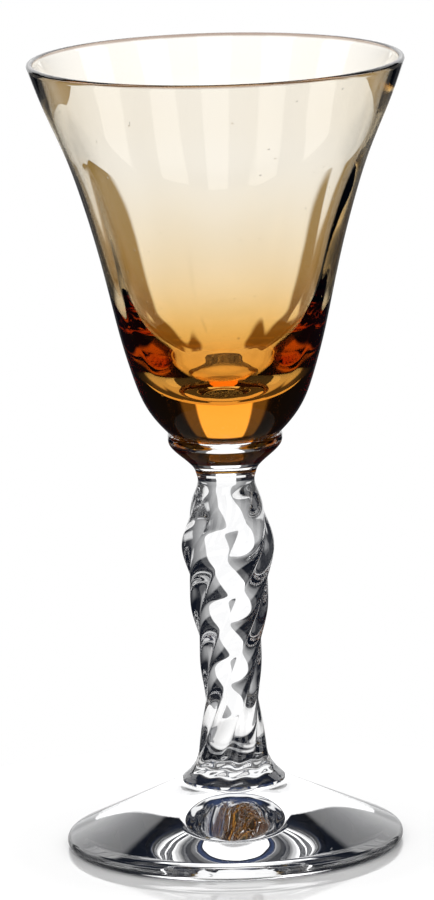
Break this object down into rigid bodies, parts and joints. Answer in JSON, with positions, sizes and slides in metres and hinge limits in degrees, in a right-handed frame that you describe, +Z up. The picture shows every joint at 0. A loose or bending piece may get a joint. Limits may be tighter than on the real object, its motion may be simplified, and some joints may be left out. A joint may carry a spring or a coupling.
{
  "type": "cordial glass",
  "caption": "Small stemmed drinking glass: flared amber bowl with soft panels, clear collar, clear twisted knopped stem with a flared skirt, and a clear cone-shaped foot.",
  "frame": {"origin": "middle of the plane that the foot rests on, on the glass's axis", "axes": "+Z up along the axis from the foot to the rim, -Y towards the viewer of the front"},
  "size_m": [0.0538, 0.0538, 0.1143],
  "materials": {
    "clear_glass": "fire-polished clear glass",
    "amber_glass": "fire-polished amber glass, deeper where it is thick"
  },
  "bodies": {
    "root": {"foot": "clear_glass", "stem": "clear_glass", "collar": "clear_glass", "bowl": "amber_glass"}
  },
  "joints": []
}
